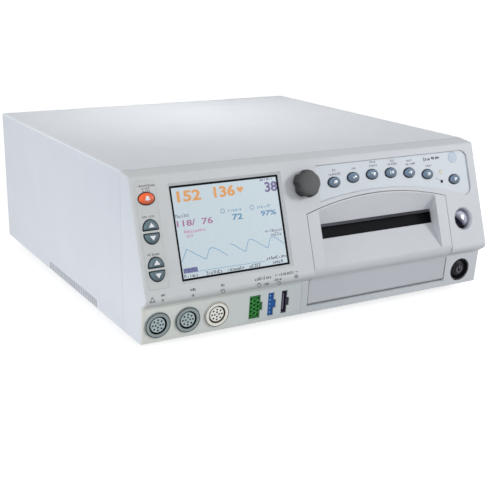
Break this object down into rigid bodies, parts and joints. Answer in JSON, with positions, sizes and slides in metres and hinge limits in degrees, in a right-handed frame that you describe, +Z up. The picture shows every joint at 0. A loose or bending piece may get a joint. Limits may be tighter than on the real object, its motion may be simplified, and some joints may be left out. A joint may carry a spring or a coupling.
{
  "type": "fetal monitor",
  "caption": "Desk-top fetal monitor: wedge-fronted case with a colour screen, keys and trim knob, probe sockets and a chart recorder behind a hinged door.",
  "frame": {"origin": "centre of the bounding box's footprint, on the plane the feet stand on", "axes": "+X to the right seen from the front, +Y to the rear, +Z up; the controls face -Y"},
  "size_m": [0.424, 0.45, 0.173],
  "materials": {
    "case_paint": "fine textured paint",
    "bezel_plastic": "fine spark-eroded texture",
    "display_glass": "anti-glare",
    "display_black": "satin",
    "board_green": "solder mask",
    "socket_grey": "satin",
    "socket_cream": "satin",
    "socket_green": "satin",
    "socket_blue": "satin",
    "socket_black": "satin",
    "key_slate": "gloss",
    "key_orange": "gloss",
    "knob_grey": "satin",
    "bright_chrome": "polished",
    "button_black": "gloss",
    "steel": "brushed",
    "zinc_sheet": "plain",
    "foot_rubber": "matt",
    "white_nylon": "as moulded",
    "black_plastic": "as moulded",
    "post_brass": "plated",
    "chart_paper": "coated",
    "lamp_amber": "clear"
  },
  "bodies": {
    "chassis": {"top_cover": "case_paint", "chassis_pan": "case_paint", "front_bezel": "bezel_plastic", "connector_panel": "bezel_plastic", "left_key_plate": "bezel_plastic", "chart_key_plate": "bezel_plastic", "button_collars": "bezel_plastic", "display_window": "display_glass", "display_module": "display_black", "key_boards": "board_green", "main_board": "board_green", "ultrasound_shells": "socket_grey", "ultrasound_inserts": "socket_grey", "toco_shell": "socket_cream", "toco_insert": "socket_cream", "ecg_socket": "socket_green", "oximetry_socket": "socket_blue", "pressure_socket": "socket_black", "door_hinge_pin": "steel", "screws": "steel", "paper_motor": "steel", "recorder_frame": "zinc_sheet", "power_supply": "zinc_sheet", "print_head": "zinc_sheet", "rear_ports": "zinc_sheet", "feet": "foot_rubber", "platen_bushes": "white_nylon", "paper_tray": "white_nylon", "fan_frame": "black_plastic", "mains_inlet": "black_plastic", "power_switch": "black_plastic", "encoder_body": "black_plastic", "speaker": "black_plastic", "equipotential_post": "post_brass", "paper_pack": "chart_paper", "status_lamps": "lamp_amber"},
    "door": {"recorder_door": "bezel_plastic", "tear_bar": "steel"},
    "platen": {"platen_roller": "foot_rubber", "platen_shaft": "steel", "platen_gear": "white_nylon"},
    "pinion": {"motor_pinion": "white_nylon"},
    "release": {"release_button": "bright_chrome"},
    "bolt": {"latch_bolt": "steel"},
    "power": {"power_button": "button_black"},
    "encoder_shaft": {"encoder_shaft": "steel"},
    "knob": {"trim_knob": "knob_grey"},
    "fan": {"fan_rotor": "black_plastic"},
    "alarm": {"alarm_key": "key_orange"},
    "volume_one_up": {"volume_one_up_key": "key_slate"},
    "volume_one_down": {"volume_one_down_key": "key_slate"},
    "volume_two_up": {"volume_two_up_key": "key_slate"},
    "volume_two_down": {"volume_two_down_key": "key_slate"},
    "chart_1": {"chart_key_1": "key_slate"},
    "chart_2": {"chart_key_2": "key_slate"},
    "chart_3": {"chart_key_3": "key_slate"},
    "chart_4": {"chart_key_4": "key_slate"},
    "chart_5": {"chart_key_5": "key_slate"},
    "chart_6": {"chart_key_6": "key_slate"},
    "chart_7": {"chart_key_7": "key_slate"}
  },
  "joints": [
    {"name": "door_hinge", "type": "hinge", "parent": "chassis", "child": "door", "pos_m": [0.0695, -0.20376, 0.02866], "axis": [1, 0, 0], "range_deg": [0, 80]},
    {"name": "platen_spin", "type": "hinge", "parent": "chassis", "child": "platen", "pos_m": [0.0695, -0.18224, 0.08384], "axis": [1, 0, 0], "continuous": true},
    {"name": "pinion_spin", "type": "hinge", "parent": "chassis", "child": "pinion", "pos_m": [-0.03, -0.15755, 0.08886], "axis": [1, 0, 0], "continuous": true},
    {"name": "release_press", "type": "slide", "parent": "chassis", "child": "release", "axis": [0, 0.9496, -0.3135], "range_m": [0, 0.004], "stiffness_N_per_m": 250},
    {"name": "bolt_draw", "type": "slide", "parent": "chassis", "child": "bolt", "axis": [1, 0, 0], "range_m": [0, 0.003]},
    {"name": "power_press", "type": "slide", "parent": "chassis", "child": "power", "axis": [0, 0.9958, 0.092], "range_m": [0, 0.003], "stiffness_N_per_m": 250},
    {"name": "knob_push", "type": "slide", "parent": "chassis", "child": "encoder_shaft", "axis": [0, 0.9496, -0.3135], "range_m": [0, 0.0012], "stiffness_N_per_m": 400},
    {"name": "knob_turn", "type": "hinge", "parent": "encoder_shaft", "child": "knob", "pos_m": [-0.0215, -0.19868, 0.14697], "axis": [0, -0.9496, 0.3135], "continuous": true},
    {"name": "fan_spin", "type": "hinge", "parent": "chassis", "child": "fan", "pos_m": [-0.12, 0.1985, 0.1], "axis": [0, 1, 0], "continuous": true},
    {"name": "alarm_press", "type": "slide", "parent": "chassis", "child": "alarm", "axis": [0, 0.9496, -0.3135], "range_m": [0, 0.0012], "stiffness_N_per_m": 250},
    {"name": "volume_one_up_press", "type": "slide", "parent": "chassis", "child": "volume_one_up", "axis": [0, 0.9496, -0.3135], "range_m": [0, 0.0012], "stiffness_N_per_m": 250},
    {"name": "volume_one_down_press", "type": "slide", "parent": "chassis", "child": "volume_one_down", "axis": [0, 0.9496, -0.3135], "range_m": [0, 0.0012], "stiffness_N_per_m": 250},
    {"name": "volume_two_up_press", "type": "slide", "parent": "chassis", "child": "volume_two_up", "axis": [0, 0.9496, -0.3135], "range_m": [0, 0.0012], "stiffness_N_per_m": 250},
    {"name": "volume_two_down_press", "type": "slide", "parent": "chassis", "child": "volume_two_down", "axis": [0, 0.9496, -0.3135], "range_m": [0, 0.0012], "stiffness_N_per_m": 250},
    {"name": "chart_1_press", "type": "slide", "parent": "chassis", "child": "chart_1", "axis": [0, 0.9496, -0.3135], "range_m": [0, 0.0015], "stiffness_N_per_m": 250},
    {"name": "chart_2_press", "type": "slide", "parent": "chassis", "child": "chart_2", "axis": [0, 0.9496, -0.3135], "range_m": [0, 0.0015], "stiffness_N_per_m": 250},
    {"name": "chart_3_press", "type": "slide", "parent": "chassis", "child": "chart_3", "axis": [0, 0.9496, -0.3135], "range_m": [0, 0.0015], "stiffness_N_per_m": 250},
    {"name": "chart_4_press", "type": "slide", "parent": "chassis", "child": "chart_4", "axis": [0, 0.9496, -0.3135], "range_m": [0, 0.0015], "stiffness_N_per_m": 250},
    {"name": "chart_5_press", "type": "slide", "parent": "chassis", "child": "chart_5", "axis": [0, 0.9496, -0.3135], "range_m": [0, 0.0015], "stiffness_N_per_m": 250},
    {"name": "chart_6_press", "type": "slide", "parent": "chassis", "child": "chart_6", "axis": [0, 0.9496, -0.3135], "range_m": [0, 0.0015], "stiffness_N_per_m": 250},
    {"name": "chart_7_press", "type": "slide", "parent": "chassis", "child": "chart_7", "axis": [0, 0.9496, -0.3135], "range_m": [0, 0.0015], "stiffness_N_per_m": 250}
  ],
  "couplings": [
    {"joint": "pinion_spin", "follows": "platen_spin", "ratio": -2.5},
    {"joint": "bolt_draw", "follows": "release_press", "ratio": 0.75}
  ]
}
